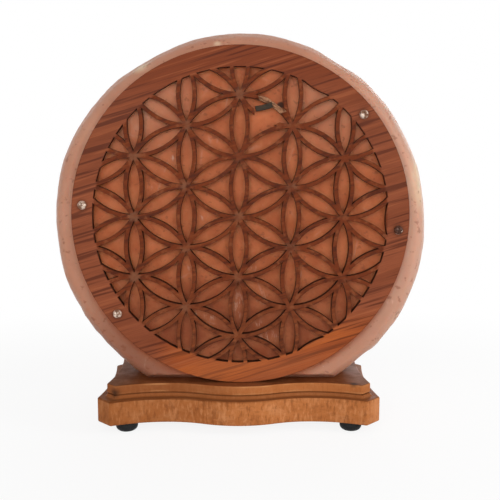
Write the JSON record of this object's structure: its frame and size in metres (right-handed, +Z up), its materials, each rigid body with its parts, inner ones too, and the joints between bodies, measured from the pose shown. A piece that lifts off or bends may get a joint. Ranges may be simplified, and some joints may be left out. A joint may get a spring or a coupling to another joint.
{
  "type": "salt crystal lamp",
  "caption": "Table lamp of a thick round rock-salt plate on a moulded wooden base, with a pierced disc of interlaced circles on its face and a sprung bulb holder that goes up into the salt.",
  "frame": {"origin": "on the surface the lamp stands on, under the middle of its bounding box", "axes": "+Z up, -Y out of the pierced face towards the viewer, +X to the viewer's right"},
  "size_m": [0.2532, 0.0996, 0.2625],
  "materials": {
    "salt": "cloudy pink rock salt, satin, sawn faces and a rough rim",
    "fret_wood": "oiled red-brown hardwood with dark grain and charred cut edges",
    "base_wood": "lightly varnished light-brown hardwood",
    "foot_rubber": "matte black",
    "screw_steel": "bright zinc-plated",
    "plug_plastic": "grey nylon",
    "plate_steel": "zinc-plated sheet",
    "spring_steel": "bright spring strip",
    "rivet_aluminium": "plain",
    "socket_plastic": "black moulded",
    "core_ceramic": "unglazed white",
    "contact_brass": "plain",
    "gland_plastic": "black flexible",
    "bulb_glass": "clear",
    "cap_metal": "bright rolled sheet",
    "insulator_glass": "black",
    "tip_solder": "dull solder",
    "wire_metal": "fine wire"
  },
  "bodies": {
    "stand": {"base_board": "base_wood", "foot_front_left": "foot_rubber", "foot_front_right": "foot_rubber", "foot_back_left": "foot_rubber", "foot_back_right": "foot_rubber", "foot_washers": "screw_steel", "foot_screws": "screw_steel", "salt_crystal": "salt", "base_screws": "screw_steel", "base_plugs": "plug_plastic", "fretwork_panel": "fret_wood", "broken_strand": "fret_wood", "panel_screws": "screw_steel", "panel_plugs": "plug_plastic"},
    "holder": {"holder_plate": "plate_steel", "spring_clip_1": "spring_steel", "spring_clip_2": "spring_steel", "spring_clip_3": "spring_steel", "clip_rivets": "rivet_aluminium", "socket_body": "socket_plastic", "socket_core": "core_ceramic", "socket_screw_shell": "contact_brass", "centre_contact": "contact_brass", "side_contact": "contact_brass", "terminal_screws": "contact_brass", "socket_cover": "socket_plastic", "cord_gland": "gland_plastic"},
    "bulb": {"bulb_glass": "bulb_glass", "bulb_cap": "cap_metal", "bulb_insulator": "insulator_glass", "bulb_tip_contact": "tip_solder", "bulb_stem": "bulb_glass", "bulb_lead_wires": "wire_metal", "bulb_filament": "wire_metal"}
  },
  "joints": [
    {"name": "holder_slide", "type": "slide", "parent": "stand", "child": "holder", "axis": [0, 0, -1], "range_m": [0, 0.085]},
    {"name": "bulb_turn", "type": "hinge", "parent": "holder", "child": "bulb", "pos_m": [0, 0, 0.0257], "axis": [0, 0, 1], "range_deg": [0, 1800]}
  ]
}
